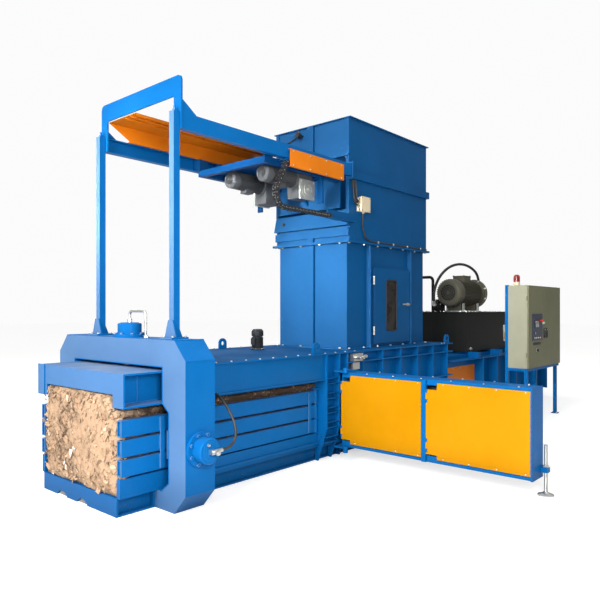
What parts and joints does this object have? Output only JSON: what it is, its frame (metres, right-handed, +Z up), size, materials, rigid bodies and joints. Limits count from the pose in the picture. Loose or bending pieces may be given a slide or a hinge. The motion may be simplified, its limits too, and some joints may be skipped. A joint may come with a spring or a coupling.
{
  "type": "horizontal recycling baler",
  "caption": "Horizontal channel baler with feed tower, powered feed gate, needle box, tension ring, hydraulic unit and control cabinet.",
  "frame": {"origin": "on the floor under the middle of the feed tower, on the press chamber's centreline, at the bed's flat underside", "axes": "+X to the rear (hydraulic end), -X to the bale outlet, -Y to the needle box and control cabinet, +Z up"},
  "size_m": [8.603, 3.968, 3.656],
  "materials": {
    "blue_paint": "gloss",
    "yellow_paint": "gloss",
    "orange_paint": "gloss",
    "chrome_rod": "polished",
    "grey_motor": "satin",
    "dark_steel": "satin",
    "bright_steel": "brushed",
    "cabinet_grey": "satin",
    "black_rubber": "matt",
    "black_plastic": "matt",
    "red_plastic": "gloss",
    "green_plastic": "gloss",
    "clear_window": "gloss",
    "pressed_paper": "matt"
  },
  "bodies": {
    "machine": {"bed_frame": "blue_paint", "tension_ring": "blue_paint", "tension_jacks": "blue_paint", "jack_bolts": "bright_steel", "chamber_roof": "blue_paint", "chamber_wall_near": "blue_paint", "chamber_wall_far": "blue_paint", "hinge_pins": "bright_steel", "main_cylinder": "dark_steel", "rear_frame": "blue_paint", "rear_guards": "orange_paint", "gantry_posts": "blue_paint", "gantry_bridge": "blue_paint", "gantry_covers": "orange_paint", "tower_lower": "blue_paint", "tower_upper": "blue_paint", "energy_chain": "black_plastic", "junction_box": "cabinet_grey", "service_cables": "black_rubber", "level_sensor": "black_plastic", "needle_box": "blue_paint", "wire_twister": "dark_steel", "roof_motor": "grey_motor", "hydraulic_tank": "dark_steel", "pump_motor": "grey_motor", "pump_hose": "black_rubber", "side_hose_near": "black_rubber", "side_hose_far": "black_rubber", "pipe_fittings": "bright_steel", "control_cabinet": "cabinet_grey", "cabinet_stand": "blue_paint", "beacon": "red_plastic", "paper_bale": "pressed_paper"},
    "press_ram": {"ram": "blue_paint", "ram_rod": "chrome_rod"},
    "upper_flap": {"top_flap": "blue_paint"},
    "near_flap": {"side_flap_near": "blue_paint"},
    "far_flap": {"side_flap_far": "blue_paint"},
    "top_jack_rod": {"rod_top": "chrome_rod"},
    "near_jack_rod": {"rod_near": "chrome_rod"},
    "far_jack_rod": {"rod_far": "chrome_rod"},
    "trolley": {"trolley_frame": "blue_paint", "pusher_plate": "blue_paint", "travel_motors": "grey_motor"},
    "tower_door": {"inspection_door": "blue_paint", "door_window": "clear_window"},
    "tower_door_latch": {"door_latch": "bright_steel"},
    "needle_slide": {"needle_carriage": "bright_steel", "needles": "bright_steel"},
    "front_inner_guard": {"guard_front_inner": "yellow_paint"},
    "front_outer_guard": {"guard_front_outer": "yellow_paint"},
    "rear_inner_guard": {"guard_rear_inner": "yellow_paint"},
    "rear_outer_guard": {"guard_rear_outer": "yellow_paint"},
    "box_foot": {"jack_foot": "bright_steel"},
    "cabinet_left": {"cabinet_door_left": "cabinet_grey", "control_panel": "black_plastic"},
    "cabinet_right": {"cabinet_door_right": "cabinet_grey"},
    "selector": {"selector_switch": "black_plastic"},
    "stop_switch": {"stop_button": "red_plastic"},
    "start_switch": {"start_button": "green_plastic"}
  },
  "joints": [
    {"name": "ram_stroke", "type": "slide", "parent": "machine", "child": "press_ram", "axis": [-1, 0, 0], "range_m": [0, 2.08]},
    {"name": "top_flap_tilt", "type": "hinge", "parent": "machine", "child": "upper_flap", "pos_m": [-1.484, 0, 0.985], "axis": [0, 1, 0], "range_deg": [0, 0.45]},
    {"name": "near_flap_swing", "type": "hinge", "parent": "machine", "child": "near_flap", "pos_m": [-1.48, -0.59, 0.51], "axis": [0, 0, 1], "range_deg": [0, 1.1]},
    {"name": "far_flap_swing", "type": "hinge", "parent": "machine", "child": "far_flap", "pos_m": [-1.48, 0.59, 0.51], "axis": [0, 0, -1], "range_deg": [0, 1.1]},
    {"name": "top_rod_stroke", "type": "slide", "parent": "machine", "child": "top_jack_rod", "axis": [0, 0, 1], "range_m": [0, 0.0145]},
    {"name": "near_rod_stroke", "type": "slide", "parent": "machine", "child": "near_jack_rod", "axis": [0, -1, 0], "range_m": [0, 0.036]},
    {"name": "far_rod_stroke", "type": "slide", "parent": "machine", "child": "far_jack_rod", "axis": [0, 1, 0], "range_m": [0, 0.036]},
    {"name": "trolley_travel", "type": "slide", "parent": "machine", "child": "trolley", "axis": [1, 0, 0], "range_m": [0, 0.84], "deforming": ["energy_chain"]},
    {"name": "tower_door_swing", "type": "hinge", "parent": "machine", "child": "tower_door", "pos_m": [-0.358, -0.545, 1.6], "axis": [0, 0, -1], "range_deg": [0, 115]},
    {"name": "latch_turn", "type": "hinge", "parent": "tower_door", "child": "tower_door_latch", "pos_m": [0.355, -0.56, 1.6], "axis": [0, -1, 0], "range_deg": [0, 90]},
    {"name": "needle_stroke", "type": "slide", "parent": "machine", "child": "needle_slide", "axis": [0, 1, 0], "range_m": [0, 1.4]},
    {"name": "front_inner_guard_swing", "type": "hinge", "parent": "machine", "child": "front_inner_guard", "pos_m": [-1.309, -0.796, 0.53], "axis": [0, 0, -1], "range_deg": [0, 90]},
    {"name": "front_outer_guard_swing", "type": "hinge", "parent": "machine", "child": "front_outer_guard", "pos_m": [-1.309, -1.763, 0.53], "axis": [0, 0, -1], "range_deg": [0, 100]},
    {"name": "rear_inner_guard_swing", "type": "hinge", "parent": "machine", "child": "rear_inner_guard", "pos_m": [-1.059, -0.796, 0.53], "axis": [0, 0, 1], "range_deg": [0, 90]},
    {"name": "rear_outer_guard_swing", "type": "hinge", "parent": "machine", "child": "rear_outer_guard", "pos_m": [-1.059, -1.763, 0.53], "axis": [0, 0, 1], "range_deg": [0, 100]},
    {"name": "foot_height", "type": "slide", "parent": "machine", "child": "box_foot", "axis": [0, 0, 1], "range_m": [0, 0.08]},
    {"name": "cabinet_left_swing", "type": "hinge", "parent": "machine", "child": "cabinet_left", "pos_m": [1.892, -1.467, 1.3], "axis": [0, 0, -1], "range_deg": [0, 110]},
    {"name": "cabinet_right_swing", "type": "hinge", "parent": "machine", "child": "cabinet_right", "pos_m": [3.165, -1.467, 1.3], "axis": [0, 0, 1], "range_deg": [0, 110]},
    {"name": "selector_turn", "type": "hinge", "parent": "cabinet_left", "child": "selector", "pos_m": [2.203, -1.495, 0.977], "axis": [0, 1, 0], "range_deg": [-45, 45]},
    {"name": "stop_press", "type": "slide", "parent": "cabinet_left", "child": "stop_switch", "axis": [0, 1, 0], "range_m": [0, 0.005]},
    {"name": "start_press", "type": "slide", "parent": "cabinet_left", "child": "start_switch", "axis": [0, 1, 0], "range_m": [0, 0.004]}
  ],
  "couplings": [
    {"joint": "top_rod_stroke", "follows": "top_flap_tilt", "m_per_rad": 1.7625},
    {"joint": "near_rod_stroke", "follows": "near_flap_swing", "m_per_rad": 1.7665},
    {"joint": "far_rod_stroke", "follows": "far_flap_swing", "m_per_rad": 1.7665}
  ]
}
